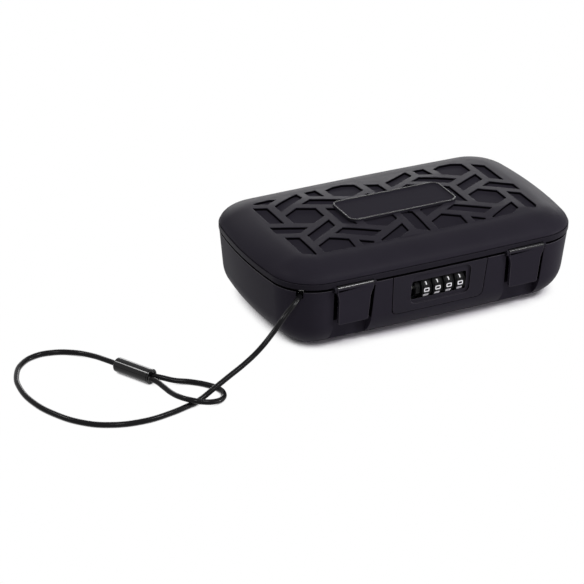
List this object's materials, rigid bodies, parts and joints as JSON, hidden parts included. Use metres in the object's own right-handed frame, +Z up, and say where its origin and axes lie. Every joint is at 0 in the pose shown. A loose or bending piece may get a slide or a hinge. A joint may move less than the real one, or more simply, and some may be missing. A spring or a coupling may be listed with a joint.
{
  "type": "portable car safe",
  "caption": "Low rounded plastic case with a hinged treaded lid, front pull latches, a number lock and a coated cable that ends in an eye.",
  "frame": {"origin": "under the middle of the closed case, on the surface that it stands on", "axes": "+X along the case to the right, seen from the lock; +Y from the lock to the hinges; +Z up"},
  "size_m": [0.4171, 0.1741, 0.071],
  "materials": {
    "case_plastic": "black moulded plastic with a fine matt grain",
    "rim_plastic": "black moulded plastic, a little smoother than the cover",
    "lock_plastic": "black moulded plastic, satin",
    "wheel_plastic": "black moulded plastic, half gloss, with white digits",
    "steel": "plain plated steel",
    "zinc": "grey die cast zinc, blasted",
    "cable_coat": "black plastic coat over steel cable, satin",
    "sleeve": "black glossy sleeve with rounded ends",
    "foam": "dark grey closed cell foam"
  },
  "bodies": {
    "base": {"base_shell": "case_plastic", "floor_mat": "foam", "lock_plate": "lock_plastic", "lock_housing": "zinc", "dial_shaft": "steel", "end_collar": "wheel_plastic", "detent_spring": "steel", "bolt_spring": "steel", "lock_screw_1": "steel", "lock_screw_2": "steel", "lock_screw_3": "steel", "lock_screw_4": "steel", "hinge_pin_left": "steel", "hinge_pin_right": "steel", "cable_stop": "steel", "cable_lead": "cable_coat", "cable_eye": "cable_coat", "ferrule": "sleeve", "ferrule_collar": "sleeve"},
    "lid": {"lid_cover": "case_plastic", "lid_rim": "rim_plastic", "name_plate": "case_plastic", "lock_strike": "steel", "strike_screw_1": "steel", "strike_screw_2": "steel", "latch_pin_left": "steel", "latch_pin_right": "steel"},
    "latch_left": {"latch_left": "case_plastic"},
    "latch_right": {"latch_right": "case_plastic"},
    "dial_1": {"dial_1": "wheel_plastic"},
    "dial_2": {"dial_2": "wheel_plastic"},
    "dial_3": {"dial_3": "wheel_plastic"},
    "dial_4": {"dial_4": "wheel_plastic"},
    "bolt": {"lock_bolt": "steel"}
  },
  "joints": [
    {"name": "lid_hinge", "type": "hinge", "parent": "base", "child": "lid", "pos_m": [0, 0.0696, 0.0506], "axis": [-1, 0, 0], "range_deg": [0, 105]},
    {"name": "latch_left_hinge", "type": "hinge", "parent": "lid", "child": "latch_left", "pos_m": [-0.0677, -0.0694, 0.0499], "axis": [-1, 0, 0], "range_deg": [0, 100]},
    {"name": "latch_right_hinge", "type": "hinge", "parent": "lid", "child": "latch_right", "pos_m": [0.0677, -0.0694, 0.0499], "axis": [-1, 0, 0], "range_deg": [0, 100]},
    {"name": "dial_1_turn", "type": "hinge", "parent": "base", "child": "dial_1", "pos_m": [-0.00985, -0.05988, 0.0335], "axis": [1, 0, 0], "continuous": true},
    {"name": "dial_2_turn", "type": "hinge", "parent": "base", "child": "dial_2", "pos_m": [-0.00095, -0.05988, 0.0335], "axis": [1, 0, 0], "continuous": true},
    {"name": "dial_3_turn", "type": "hinge", "parent": "base", "child": "dial_3", "pos_m": [0.00795, -0.05988, 0.0335], "axis": [1, 0, 0], "continuous": true},
    {"name": "dial_4_turn", "type": "hinge", "parent": "base", "child": "dial_4", "pos_m": [0.01685, -0.05988, 0.0335], "axis": [1, 0, 0], "continuous": true},
    {"name": "bolt_slide", "type": "slide", "parent": "base", "child": "bolt", "axis": [1, 0, 0], "range_m": [0, 0.005], "deforming": ["bolt_spring"]}
  ]
}
